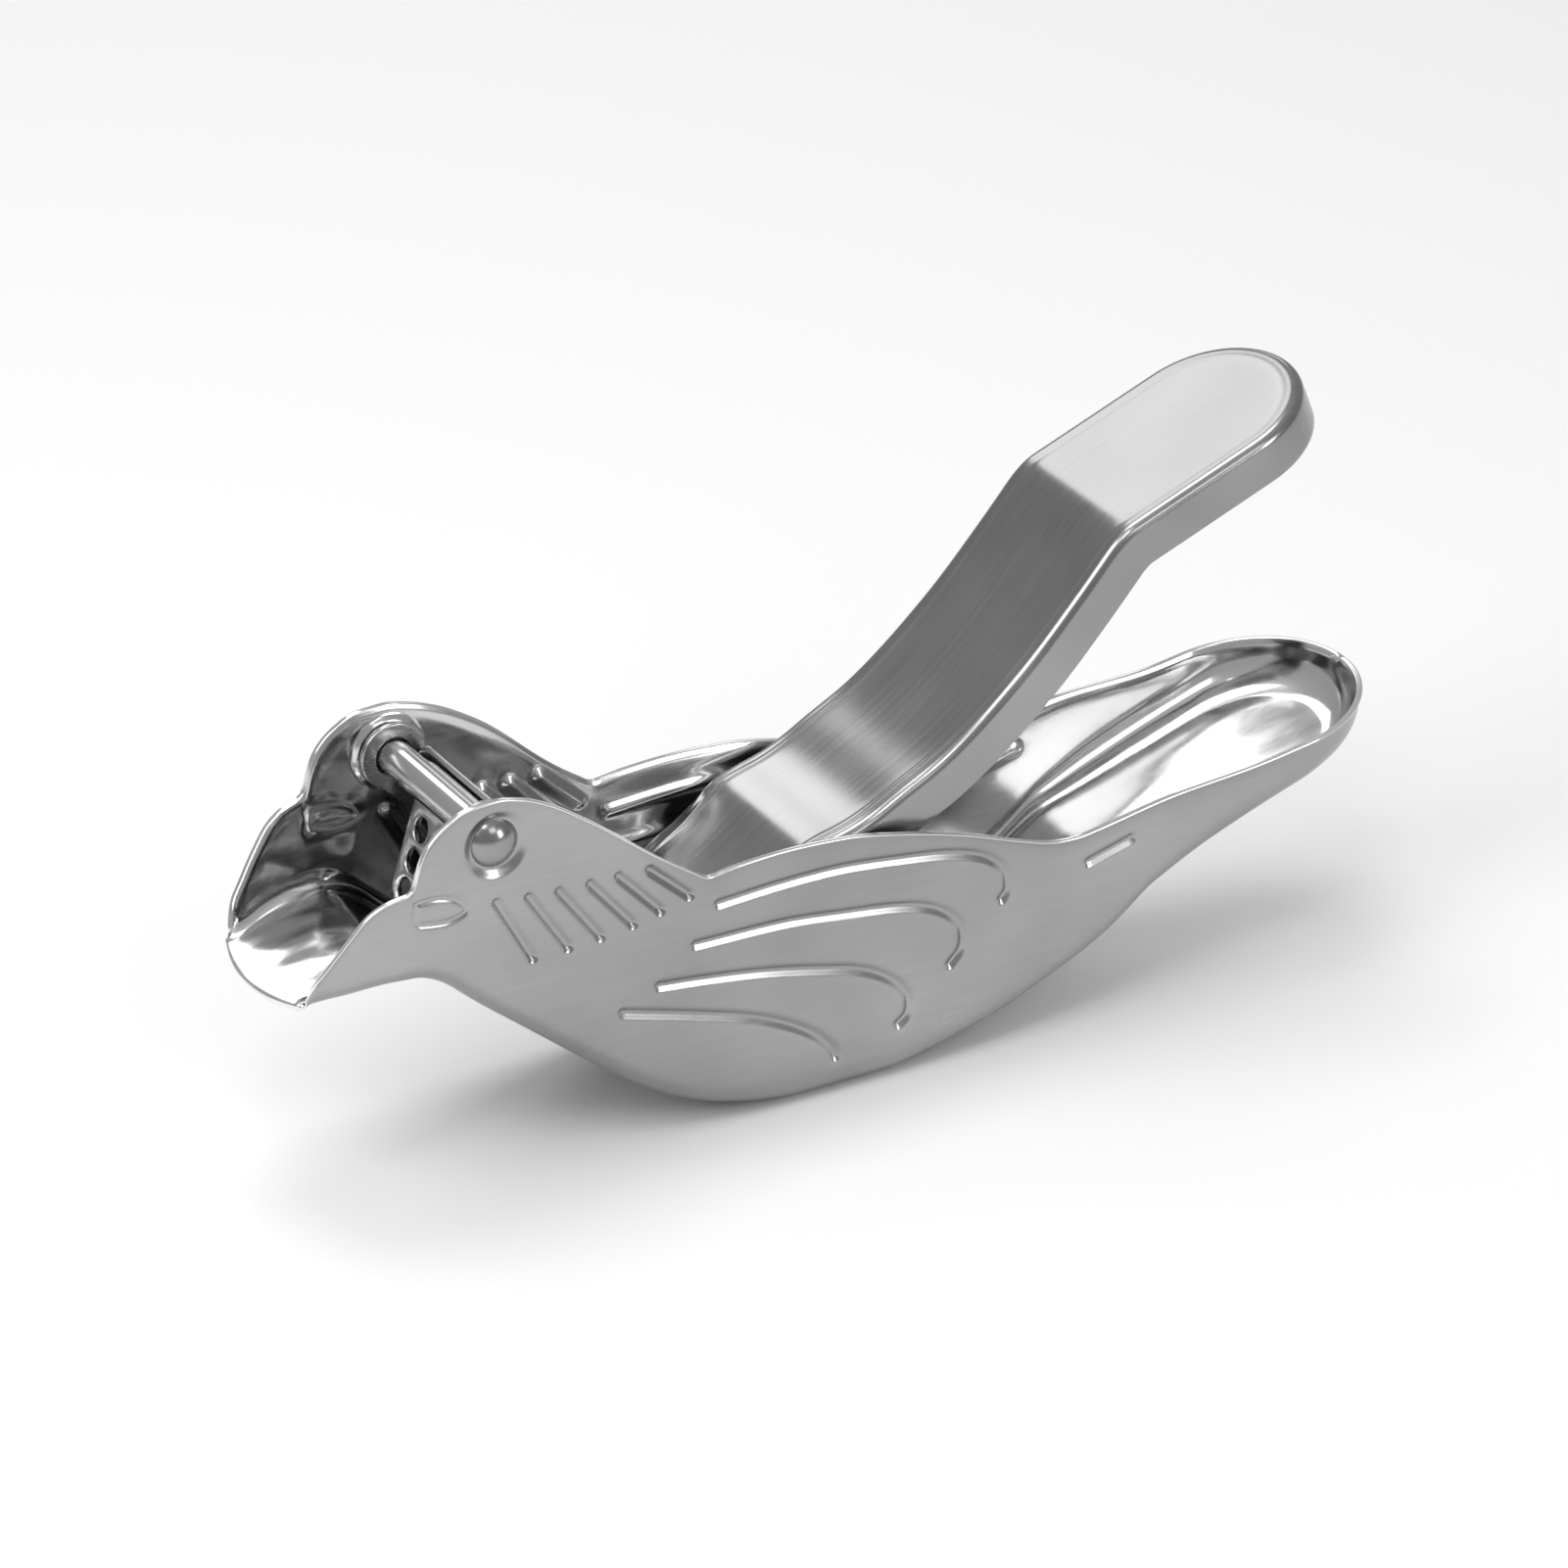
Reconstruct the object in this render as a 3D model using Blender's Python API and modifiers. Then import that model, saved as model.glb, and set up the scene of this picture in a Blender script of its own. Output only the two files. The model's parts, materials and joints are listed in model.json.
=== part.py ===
"""Bird-shaped lemon-wedge squeezer: a stamped trough body with a beak spout and a tail handle, and a pressing
lever that turns on a pin through the head.

Metres, +Z up. The beak points to -X, the tail to +X, and the belly stands on Z = 0. Profiles are given in
millimetres from the pin's axis, and every piece has its origin there.
"""

import math

import bmesh
import bpy
import numpy as np
from mathutils import Vector

MM = 0.001
QUARTER = math.radians(90)

# Driving dimensions, in millimetres.
PIN_Z = 45.0
SHEET = 0.8
BODY_HALF_WIDTH = 13.75
BODY_BEND = 3.2
TAIL_CENTRE_X = 109.5
PIN_RADIUS = 2.1
PIN_HALF_LENGTH = 12.9

# The eyes: a round dish pressed inwards in each wall, with a domed rivet head in it.
DISH_RADIUS = 3.9
DISH_DEPTH = 1.0
DISH_BOSS_RADIUS = 4.5
DISH_BOSS_HEIGHT = 0.9
WALL_HOLE_RADIUS = 2.25
DOME_RADIUS = 3.1
DOME_HEIGHT = 1.6
DOME_BASE_Y = 13.2

# The beak narrows to a spout whose floor bulges forward between the corners of the lip.
LIP_BULGE = 2.3
LIP_BULGE_START = -12.0
LIP_CORNER_X = -22.4

# The origin is under the middle of the body's length.
PIN_X = -(TAIL_CENTRE_X + BODY_HALF_WIDTH + LIP_CORNER_X - LIP_BULGE) / 2

LEVER_BEND = 1.3
LEVER_KINK = (84.05, 17.3)
PAD_SLOPE = math.radians(21.6)
PAD_STRAIGHT = 19.8
LUG_RADIUS = 4.1
LUG_HOLE_RADIUS = 2.3
LUG_FROM = math.radians(18)
LUG_TO = math.radians(238)

STRAINER_HALF_WIDTH = 8.0
STRAINER_LEAN = math.radians(18)
STRAINER_CLEARANCE = 0.3
STRAINER_TOP = 1.0
STRAINER_BOTTOM = -16.6
STRAINER_CORNER = 2.5
STRAINER_HOLE_RADIUS = 1.5
STRAINER_COLUMNS = (-5.0, 0.0, 5.0)
STRAINER_ROWS = (-6.6, -10.4, -14.2)

# How far the cutters reach past what they cut.
CUTTER_REACH = 2.0

# Runs of sections along the body and the lever as (from x, to x, count).
BODY_RUNS = ((LIP_CORNER_X, -10.4, 7), (-10.4, -6.5, 5), (-6.5, 3.6, 5), (3.6, 27.2, 8), (27.2, 40.0, 5),
             (40.0, 52.0, 2), (52.0, 75.3, 8), (75.3, 88.0, 5), (88.0, TAIL_CENTRE_X, 6))
LEVER_RUNS = ((4.4, 19.5, 6), (19.5, 29.5, 7), (29.5, 41.0, 5), (41.0, LEVER_KINK[0], 12))
FAN_STEPS = 9

# Side profiles as (x, z). Each rim run ends in a corner where the next one starts.
LIP_RIM = ((-22.4, -16.0), (-21.8, -14.2), (-19.8, -11.2), (-17.9, -8.5), (-15.3, -5.4), (-13.0, -4.2),
           (-10.4, -3.6))
HEAD_RIM = ((-10.4, -3.6), (-10.0, -1.4), (-9.1, 1.0), (-6.5, 3.7), (-3.3, 5.2), (0.4, 5.4), (3.6, 4.7),
            (6.9, 3.2), (11.8, -0.1), (20.9, -7.2), (27.2, -11.6))
BACK_RIM = ((27.2, -11.6), (32.2, -11.0), (37.4, -10.8), (45.2, -11.2), (53.1, -12.7), (61.1, -14.9),
            (69.1, -17.8), (75.3, -19.9))
TAIL_RIM = ((75.3, -19.9), (80.0, -19.2), (90.9, -17.4), (101.9, -16.5), (110.2, -15.3), (123.25, -13.2))
BELLY_FLOOR = ((-24.6, -18.2), (-22.0, -17.4), (-18.0, -16.6), (-15.3, -16.2), (-12.1, -15.9), (-9.5, -15.9),
               (-7.7, -16.4), (-5.2, -17.9), (-2.8, -20.1), (4.7, -26.3), (14.8, -34.5), (19.9, -38.3),
               (25.1, -41.3), (30.3, -43.3), (35.5, -44.5), (40.0, -45.0), (52.0, -45.0), (56.9, -44.3),
               (62.3, -43.0), (67.7, -41.5), (73.1, -39.3), (81.2, -35.5), (88.0, -30.8))
TAIL_FLOOR = ((88.0, -30.8), (94.8, -28.3), (105.8, -24.6), (123.25, -18.9))
BEAK_HALF_WIDTH = ((-22.4, 9.8), (-21.8, 10.5), (-19.8, 11.3), (-17.9, 12.0), (-15.3, 12.7), (-13.0, 13.2),
                   (-10.4, 13.6), (-7.0, 13.75))
LEVER_TOP = ((4.4, 0.4), (9.0, -6.5), (14.5, -14.5), (19.5, -21.0), (23.0, -23.9), (26.0, -24.2),
             (29.5, -22.6), (32.8, -20.3), (38.6, -16.5), (46.5, -13.1), (51.9, -10.8), (59.9, -6.0),
             (70.6, 2.6), (78.6, 11.0), LEVER_KINK)
LEVER_FLANGE = ((4.4, 7.4), (9.0, 5.4), (14.5, 3.9), (20.0, 2.8), (26.0, 2.6), (33.0, 3.6), (41.0, 5.4),
                (50.0, 5.8), (130.0, 5.8))
LEVER_HALF_WIDTH = ((4.4, 11.5), (26.0, 11.5), (60.0, 11.9), (130.0, 11.9))


def smooth(points):
    """A curve through the points with no overshoot: cubic pieces with limited slopes."""
    xs, ys = np.array(points, float).T
    steps = np.diff(xs)
    slopes = np.diff(ys) / steps
    tangents = np.concatenate([slopes[:1], np.zeros(len(xs) - 2), slopes[-1:]])
    for i in range(1, len(xs) - 1):
        if slopes[i - 1] * slopes[i] > 0:
            before = 2 * steps[i] + steps[i - 1]
            after = steps[i] + 2 * steps[i - 1]
            tangents[i] = (before + after) / (before / slopes[i - 1] + after / slopes[i])

    def at(x):
        x = min(max(x, xs[0]), xs[-1])
        i = min(int(np.searchsorted(xs, x, side="right")) - 1, len(xs) - 2)
        t = (x - xs[i]) / steps[i]
        rise = (3 - 2 * t) * t * t
        return float(
            (1 - rise) * ys[i] + rise * ys[i + 1]
            + steps[i] * t * (1 - t) * ((1 - t) * tangents[i] - t * tangents[i + 1])
        )

    return at


def joined(*runs):
    """One height function from profile runs that meet at corners."""
    curves = [(run[-1][0], smooth(run)) for run in runs]

    def at(x):
        for end, curve in curves[:-1]:
            if x <= end:
                return curve(x)
        return curves[-1][1](x)

    return at


rim_height = joined(LIP_RIM, HEAD_RIM, BACK_RIM, TAIL_RIM)
floor_height = joined(BELLY_FLOOR, TAIL_FLOOR)
half_width = smooth(BEAK_HALF_WIDTH)
flange_height = smooth(LEVER_FLANGE)
lever_half_width = smooth(LEVER_HALF_WIDTH)


def metal(name, colour, roughness):
    material = bpy.data.materials.new(name)
    material.use_nodes = True
    shader = material.node_tree.nodes["Principled BSDF"]
    shader.inputs["Base Color"].default_value = (*colour, 1.0)
    shader.inputs["Metallic"].default_value = 1.0
    shader.inputs["Roughness"].default_value = roughness
    return material


def clear_scene():
    for thing in list(bpy.data.objects):
        bpy.data.objects.remove(thing, do_unlink=True)


def collection(name):
    made = bpy.data.collections.new(name)
    bpy.context.scene.collection.children.link(made)
    return made


def place(name, mesh, where, parent, material=None):
    thing = bpy.data.objects.new(name, mesh)
    where.objects.link(thing)
    thing.parent = parent
    if material:
        mesh.materials.append(material)
    return thing


def mesh_from(name, build):
    """A mesh made by build(bm) in millimetres, scaled to metres."""
    bm = bmesh.new()
    build(bm)
    bmesh.ops.scale(bm, vec=(MM, MM, MM), verts=bm.verts)
    mesh = bpy.data.meshes.new(name)
    bm.to_mesh(mesh)
    bm.free()
    return mesh


def grid_faces(bm, rows):
    """Quads between neighbouring rows of vertices, with the repeated pole of a fan left out."""
    for low, high in zip(rows, rows[1:]):
        for i in range(len(low) - 1):
            corners = [low[i], low[i + 1], high[i + 1], high[i]]
            bm.faces.new(corners)
    bmesh.ops.remove_doubles(bm, verts=bm.verts, dist=0.001)
    bmesh.ops.dissolve_degenerate(bm, dist=0.0005, edges=bm.edges)


def add_mirror(thing):
    mirror = thing.modifiers.new("other_half", "MIRROR")
    mirror.use_axis = (False, True, False)
    mirror.merge_threshold = 0.00001
    mirror.use_clip = True


def add_sheet(thing):
    solid = thing.modifiers.new("sheet", "SOLIDIFY")
    solid.thickness = SHEET * MM
    solid.offset = -1.0
    solid.use_even_offset = True
    solid.use_quality_normals = True


def add_boolean(thing, cutter, operation):
    boolean = thing.modifiers.new(operation.lower() + "_" + cutter.name, "BOOLEAN")
    boolean.operation = operation
    boolean.object = cutter


def cylinder_across(name, radius, y_from, y_to, helpers, parent, at=(0.0, 0.0), sides=32):
    """A helper cylinder along Y, hidden from the build."""
    def build(bm):
        bmesh.ops.create_cone(bm, cap_ends=True, segments=sides, radius1=radius, radius2=radius,
                              depth=y_to - y_from)
        for vert in bm.verts:
            x, y, z = vert.co
            vert.co = Vector((at[0] + x, (y_from + y_to) / 2 - z, at[1] + y))

    helper = place(name, mesh_from(name, build), helpers, parent)
    helper.hide_render = True
    helper.display_type = "WIRE"
    return helper


def body_section(foot, direction, reach, rim, bulge):
    """Points of half a section, from the rim down the wall and round the bend to the middle line."""
    wall_rows, bend_rows, floor_rows = 4, 4, 3
    most_bend_share = 0.9
    wall_floor = floor_height(foot + direction[0] * reach)
    bend = min(BODY_BEND, most_bend_share * (rim - wall_floor))
    path = [(reach, rim + (wall_floor + bend - rim) * i / wall_rows, None) for i in range(wall_rows)]
    for i in range(bend_rows + 1):
        turn = QUARTER * i / bend_rows
        path.append((reach - bend + bend * math.cos(turn), None, bend * (1 - math.sin(turn))))
    path += [((reach - bend) * (1 - i / floor_rows), None, 0.0) for i in range(1, floor_rows + 1)]
    points = []
    for out, height, above in path:
        x = foot + direction[0] * out - bulge * (1 - (out / reach) ** 2)
        z = height if height is not None else floor_height(x) + above
        points.append((x, direction[1] * out, z))
    return points


def stations(runs):
    """Where the sections of a run are, with each run's end shared by the next one."""
    xs = [runs[0][0]]
    for start, end, count in runs:
        xs += list(np.linspace(start, end, count + 1)[1:])
    return xs


def build_body(bm):
    rows = []
    for x in stations(BODY_RUNS):
        along = min(max((LIP_BULGE_START - x) / (LIP_BULGE_START - LIP_CORNER_X), 0.0), 1.0)
        bulge = LIP_BULGE * along * along * (3 - 2 * along)
        reach = half_width(x) if x < BEAK_HALF_WIDTH[-1][0] else BODY_HALF_WIDTH
        rows.append(body_section(x, (0.0, -1.0), reach, rim_height(x), bulge))
    for i in range(1, FAN_STEPS + 1):
        turn = QUARTER * (1 - i / FAN_STEPS)
        direction = (math.cos(turn), -math.sin(turn))
        rim = rim_height(TAIL_CENTRE_X + direction[0] * BODY_HALF_WIDTH)
        rows.append(body_section(TAIL_CENTRE_X, direction, BODY_HALF_WIDTH, rim, 0.0))
    grid_faces(bm, [[bm.verts.new(point) for point in row] for row in rows])


def make_body(parts, helpers, hub):
    body = place("body_shell", mesh_from("body_shell", build_body), parts, hub,
                 metal("body_steel", (0.60, 0.60, 0.61), 0.32))
    add_mirror(body)
    add_sheet(body)
    inner = BODY_HALF_WIDTH - SHEET
    for side, name in ((-1, "left"), (1, "right")):
        def across(label, radius, near, far):
            low, high = sorted((side * near, side * far))
            return cylinder_across(f"{label}_{name}", radius, low, high, helpers, hub)

        boss = across("boss", DISH_BOSS_RADIUS, inner - DISH_BOSS_HEIGHT, inner + SHEET / 2)
        outside = BODY_HALF_WIDTH + CUTTER_REACH
        dish = across("dish", DISH_RADIUS, BODY_HALF_WIDTH - DISH_DEPTH, outside)
        hole = across("wall_hole", WALL_HOLE_RADIUS, inner - DISH_BOSS_HEIGHT - CUTTER_REACH, outside)
        add_boolean(body, boss, "UNION")
        add_boolean(body, dish, "DIFFERENCE")
        add_boolean(body, hole, "DIFFERENCE")
    return body


def lever_stations():
    """(point on the top, slope of the top) down the slope from the head, and up to the kink."""
    top = smooth(LEVER_TOP)
    step = 0.2
    first, last = LEVER_TOP[0][0], LEVER_KINK[0]
    found = []
    for x in stations(LEVER_RUNS):
        low, high = max(x - step, first), min(x + step, last)
        slope = math.atan2(top(high) - top(low), high - low)
        if x == last:
            slope = (slope + PAD_SLOPE) / 2
        found.append(((x, top(x)), slope))
    return found


def lever_section(foot, slope, across):
    """Half a section of the lever, from the middle line over the bend to the flange's free edge."""
    web_rows, bend_rows, flange_rows = 3, 3, 2
    reach = lever_half_width(foot[0])
    flange = flange_height(foot[0])
    path = [((reach - LEVER_BEND) * i / web_rows, 0.0) for i in range(web_rows)]
    for i in range(bend_rows + 1):
        turn = QUARTER * i / bend_rows
        path.append((reach - LEVER_BEND + LEVER_BEND * math.sin(turn), LEVER_BEND * (1 - math.cos(turn))))
    path += [(reach, LEVER_BEND + (flange - LEVER_BEND) * i / flange_rows) for i in range(1, flange_rows + 1)]
    points = []
    for out, down in path:
        forward = across[0] * out
        points.append((
            foot[0] + forward * math.cos(slope) + down * math.sin(slope),
            across[1] * out,
            foot[1] + forward * math.sin(slope) - down * math.cos(slope),
        ))
    return points


def build_lever(bm):
    sideways = (0.0, -1.0)
    rows = [lever_section(foot, slope, sideways) for foot, slope in lever_stations()]
    pad_rows = 3
    for i in range(1, pad_rows + 1):
        along = PAD_STRAIGHT * i / pad_rows
        foot = (LEVER_KINK[0] + along * math.cos(PAD_SLOPE), LEVER_KINK[1] + along * math.sin(PAD_SLOPE))
        rows.append(lever_section(foot, PAD_SLOPE, sideways))
    for i in range(1, FAN_STEPS + 1):
        turn = QUARTER * (1 - i / FAN_STEPS)
        rows.append(lever_section(foot, PAD_SLOPE, (math.cos(turn), -math.sin(turn))))
    grid = [[bm.verts.new(point) for point in row] for row in rows]
    flange_edge = 3
    add_lug(bm, grid[0][-flange_edge:])
    grid_faces(bm, grid)


def add_lug(bm, flange_edge):
    """The round ear that the pin passes through, in one plane with the flange's front edge."""
    steps = 16
    ring = []
    for i in range(steps + 1):
        turn = LUG_FROM + (LUG_TO - LUG_FROM) * i / steps
        point = (LUG_RADIUS * math.cos(turn), -lever_half_width(0.0), LUG_RADIUS * math.sin(turn))
        ring.append(bm.verts.new(point))
    bm.faces.new(ring + flange_edge[::-1])


def make_lever(parts, helpers, hub):
    lever = place("press_lever", mesh_from("press_lever", build_lever), parts, hub,
                  metal("lever_steel", (0.58, 0.58, 0.59), 0.28))
    add_mirror(lever)
    add_sheet(lever)
    reach = lever_half_width(0.0) + CUTTER_REACH
    hole = cylinder_across("lug_hole", LUG_HOLE_RADIUS, -reach, reach, helpers, hub)
    add_boolean(lever, hole, "DIFFERENCE")
    return lever


def build_strainer(bm):
    """The plate behind the pin, drawn flat as an outline with rounded lower corners and given its sheet."""
    half, low, high, corner = STRAINER_HALF_WIDTH, STRAINER_BOTTOM, STRAINER_TOP, STRAINER_CORNER
    outline = [(-half, high), (half, high)]
    corner_steps = 5
    for centre, start in ((half - corner, 0.0), (corner - half, -QUARTER)):
        for i in range(corner_steps + 1):
            turn = start - QUARTER * i / corner_steps
            outline.append((centre + corner * math.cos(turn), low + corner + corner * math.sin(turn)))
    face = bm.faces.new([bm.verts.new((0.0, y, z)) for y, z in outline])
    made = bmesh.ops.extrude_face_region(bm, geom=[face])
    for item in made["geom"]:
        if isinstance(item, bmesh.types.BMVert):
            item.co.x += SHEET
    bmesh.ops.recalc_face_normals(bm, faces=bm.faces)


def make_strainer(parts, helpers, hub):
    strainer = place("seed_strainer", mesh_from("seed_strainer", build_strainer), parts, hub,
                     metal("strainer_steel", (0.62, 0.62, 0.63), 0.25))
    lean = Vector((math.cos(STRAINER_LEAN), 0.0, -math.sin(STRAINER_LEAN)))
    strainer.location = lean * (PIN_RADIUS + STRAINER_CLEARANCE) * MM
    strainer.rotation_euler = (0.0, STRAINER_LEAN, 0.0)

    def build(bm):
        depth = 2 * (SHEET + CUTTER_REACH)
        for y in STRAINER_COLUMNS:
            for z in STRAINER_ROWS:
                made = bmesh.ops.create_cone(bm, cap_ends=True, segments=16, radius1=STRAINER_HOLE_RADIUS,
                                             radius2=STRAINER_HOLE_RADIUS, depth=depth)
                for vert in made["verts"]:
                    vert.co = Vector((vert.co.z, y + vert.co.y, z - vert.co.x))

    drills = place("strainer_drills", mesh_from("strainer_drills", build), helpers, strainer)
    drills.hide_render = True
    drills.display_type = "WIRE"
    add_boolean(strainer, drills, "DIFFERENCE")
    return strainer


def make_pin(parts, hub):
    def build(bm):
        bmesh.ops.create_cone(bm, cap_ends=True, segments=32, radius1=PIN_RADIUS, radius2=PIN_RADIUS,
                              depth=2 * PIN_HALF_LENGTH)

    pin = place("pivot_pin", mesh_from("pivot_pin", build), parts, hub,
                metal("pin_steel", (0.66, 0.66, 0.67), 0.15))
    pin.rotation_euler = (QUARTER, 0.0, 0.0)
    return pin


def make_eye(name, side, parts, hub):
    """A domed rivet head: a turned profile on the pin's axis, flat side against the dish."""
    ball = (DOME_RADIUS ** 2 + DOME_HEIGHT ** 2) / (2 * DOME_HEIGHT)
    steps = 6
    profile = []
    for i in range(steps + 1):
        out = DOME_RADIUS * math.sin(QUARTER * i / steps)
        profile.append((out, 0.0, math.sqrt(ball ** 2 - out ** 2) - (ball - DOME_HEIGHT)))
    profile.append((0.0, 0.0, 0.0))

    def build(bm):
        verts = [bm.verts.new(point) for point in profile]
        for a, b in zip(verts, verts[1:]):
            bm.edges.new((a, b))

    eye = place(name, mesh_from(name, build), parts, hub, metal(name + "_steel", (0.68, 0.68, 0.69), 0.12))
    eye.location = (0.0, side * DOME_BASE_Y * MM, 0.0)
    eye.rotation_euler = (-QUARTER * side, 0.0, 0.0)
    turn = eye.modifiers.new("turned", "SCREW")
    turn.axis = "Z"
    turn.steps = 32
    turn.render_steps = 32
    turn.use_merge_vertices = True
    turn.merge_threshold = 0.00001
    turn.use_normal_calculate = True
    return eye


def main():
    clear_scene()
    parts = collection("lemon_squeezer")
    helpers = collection("cutters")
    hub = bpy.data.objects.new("pin_axis", None)
    parts.objects.link(hub)
    hub.location = (PIN_X * MM, 0.0, PIN_Z * MM)
    pieces = [
        make_body(parts, helpers, hub),
        make_lever(parts, helpers, hub),
        make_strainer(parts, helpers, hub),
        make_pin(parts, hub),
        make_eye("eye_rivet_left", -1, parts, hub),
        make_eye("eye_rivet_right", 1, parts, hub),
    ]
    for piece in pieces:
        piece.data.shade_smooth()
        piece.data.set_sharp_from_angle(angle=math.radians(35))


main()
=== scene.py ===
"""Looks of the bird-shaped lemon-wedge squeezer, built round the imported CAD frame.

Shapes are worked out in millimetres from the pin's axis (+X to the tail, +Z up) and placed on the joint
that the record gives. Each stamped piece is one sheet: a base surface, pressed lines and dishes, a second
face one sheet below, and rounded edges between the two.
"""

import json
import math

import bmesh
import bpy
import numpy as np
from mathutils import Matrix, Vector
from mathutils.geometry import delaunay_2d_cdt


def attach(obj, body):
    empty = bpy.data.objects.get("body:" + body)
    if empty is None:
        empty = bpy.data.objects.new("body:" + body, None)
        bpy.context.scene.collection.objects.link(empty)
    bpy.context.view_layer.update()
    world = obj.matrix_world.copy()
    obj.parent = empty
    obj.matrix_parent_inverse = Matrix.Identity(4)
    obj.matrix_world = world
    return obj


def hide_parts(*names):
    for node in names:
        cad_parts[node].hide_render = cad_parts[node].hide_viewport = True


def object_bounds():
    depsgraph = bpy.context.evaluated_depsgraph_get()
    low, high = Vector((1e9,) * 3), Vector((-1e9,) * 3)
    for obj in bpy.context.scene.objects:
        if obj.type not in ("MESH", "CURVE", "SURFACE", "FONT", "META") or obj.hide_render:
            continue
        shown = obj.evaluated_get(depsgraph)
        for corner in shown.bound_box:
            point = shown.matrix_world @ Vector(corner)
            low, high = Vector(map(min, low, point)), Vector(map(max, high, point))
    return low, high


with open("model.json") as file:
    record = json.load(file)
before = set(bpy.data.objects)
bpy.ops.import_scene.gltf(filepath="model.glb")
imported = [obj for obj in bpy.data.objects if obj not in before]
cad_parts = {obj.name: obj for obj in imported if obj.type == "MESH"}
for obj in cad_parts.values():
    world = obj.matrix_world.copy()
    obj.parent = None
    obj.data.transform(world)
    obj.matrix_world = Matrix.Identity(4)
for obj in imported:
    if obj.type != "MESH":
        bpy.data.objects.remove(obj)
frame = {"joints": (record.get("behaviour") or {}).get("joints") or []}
cad_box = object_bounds()

MM = 0.001
QUARTER = math.pi / 2
PIN = Vector(frame["joints"][0]["pos_m"])
NEAR, FAR = -1, 1

# Sizes shared with the CAD, in millimetres.
SHEET = 0.8
BODY_HALF_WIDTH = 13.75
BODY_BEND = 3.2
TAIL_CENTRE_X = 109.5
TAIL_ARC = BODY_HALF_WIDTH * QUARTER
PIN_RADIUS = 2.1
PIN_HALF_LENGTH = 12.9
LIP_BULGE = 2.3
LIP_BULGE_START = -12.0
LIP_CORNER_X = -22.4
LEVER_BEND = 1.3
LEVER_KINK = (84.05, 17.3)
PAD_SLOPE = math.radians(21.6)
PAD_STRAIGHT = 19.8
LUG_RADIUS = 4.1
LUG_HOLE_RADIUS = 2.3
LUG_FROM = math.radians(18)
LUG_TO = math.radians(238)
STRAINER_HALF_WIDTH = 8.0
STRAINER_LEAN = math.radians(18)
STRAINER_CLEARANCE = 0.3
STRAINER_TOP = 1.0
STRAINER_BOTTOM = -16.6
STRAINER_CORNER = 2.5
STRAINER_HOLE_RADIUS = 1.5
STRAINER_COLUMNS = (-5.0, 0.0, 5.0)
STRAINER_ROWS = (-6.6, -10.4, -14.2)

# Where profiles start, meet and end. The last lies beyond every piece, so nothing is rounded off there.
LIP_FRONT_X = -24.7
BACK_END_X = 75.3
TAIL_END_X = TAIL_CENTRE_X + BODY_HALF_WIDTH
PAST_THE_END_X = 130.0

# Side profiles, as (x, z). They match the CAD, apart from two. TAIL_FLOOR lies within 0.7 mm of it.
# LEVER_TOP has a shallow S-bend between x = 33 and 50 that the CAD draws nearly straight, up to about
# 1.3 mm away.
LIP_RIM = ((-22.4, -16.0), (-21.8, -14.2), (-19.8, -11.2), (-17.9, -8.5), (-15.3, -5.4), (-13.0, -4.2),
           (-10.4, -3.6))
HEAD_RIM = ((-10.4, -3.6), (-10.0, -1.4), (-9.1, 1.0), (-6.5, 3.7), (-3.3, 5.2), (0.4, 5.4), (3.6, 4.7),
            (6.9, 3.2), (11.8, -0.1), (20.9, -7.2), (27.2, -11.6))
BACK_RIM = ((27.2, -11.6), (32.2, -11.0), (37.4, -10.8), (45.2, -11.2), (53.1, -12.7), (61.1, -14.9),
            (69.1, -17.8), (75.3, -19.9))
TAIL_RIM = ((75.3, -19.9), (80.0, -19.2), (90.9, -17.4), (101.9, -16.5), (110.2, -15.3), (123.25, -13.2))
BELLY_FLOOR = ((-24.6, -18.2), (-22.0, -17.4), (-18.0, -16.6), (-15.3, -16.2), (-12.1, -15.9), (-9.5, -15.9),
               (-7.7, -16.4), (-5.2, -17.9), (-2.8, -20.1), (4.7, -26.3), (14.8, -34.5), (19.9, -38.3),
               (25.1, -41.3), (30.3, -43.3), (35.5, -44.5), (40.0, -45.0), (52.0, -45.0), (56.9, -44.3),
               (62.3, -43.0), (67.7, -41.5), (73.1, -39.3), (81.2, -35.5), (88.0, -30.8))
TAIL_FLOOR = ((88.0, -30.8), (94.8, -28.0), (105.8, -23.9), (115.0, -21.0), (123.25, -18.9))
BEAK_HALF_WIDTH = ((-22.4, 9.8), (-21.8, 10.5), (-19.8, 11.3), (-17.9, 12.0), (-15.3, 12.7), (-13.0, 13.2),
                   (-10.4, 13.6), (-7.0, 13.75))
LEVER_TOP = ((4.4, 0.4), (9.0, -6.5), (14.5, -14.5), (19.5, -21.0), (23.0, -23.9), (26.0, -24.2),
             (29.5, -22.5), (33.0, -20.1), (36.2, -18.3), (38.3, -16.9), (40.3, -15.2), (42.2, -13.8),
             (44.6, -13.0), (47.7, -12.2), (50.9, -10.9), (54.3, -9.0), (59.9, -6.0),
             (70.6, 2.6), (78.6, 11.0), LEVER_KINK)
LEVER_FLANGE = ((4.4, 7.4), (9.0, 5.4), (14.5, 3.9), (20.0, 2.8), (26.0, 2.6), (33.0, 3.6), (41.0, 5.4),
                (50.0, 5.8), (130.0, 5.8))
LEVER_HALF_WIDTH = ((4.4, 11.5), (26.0, 11.5), (60.0, 11.9), (130.0, 11.9))

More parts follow.
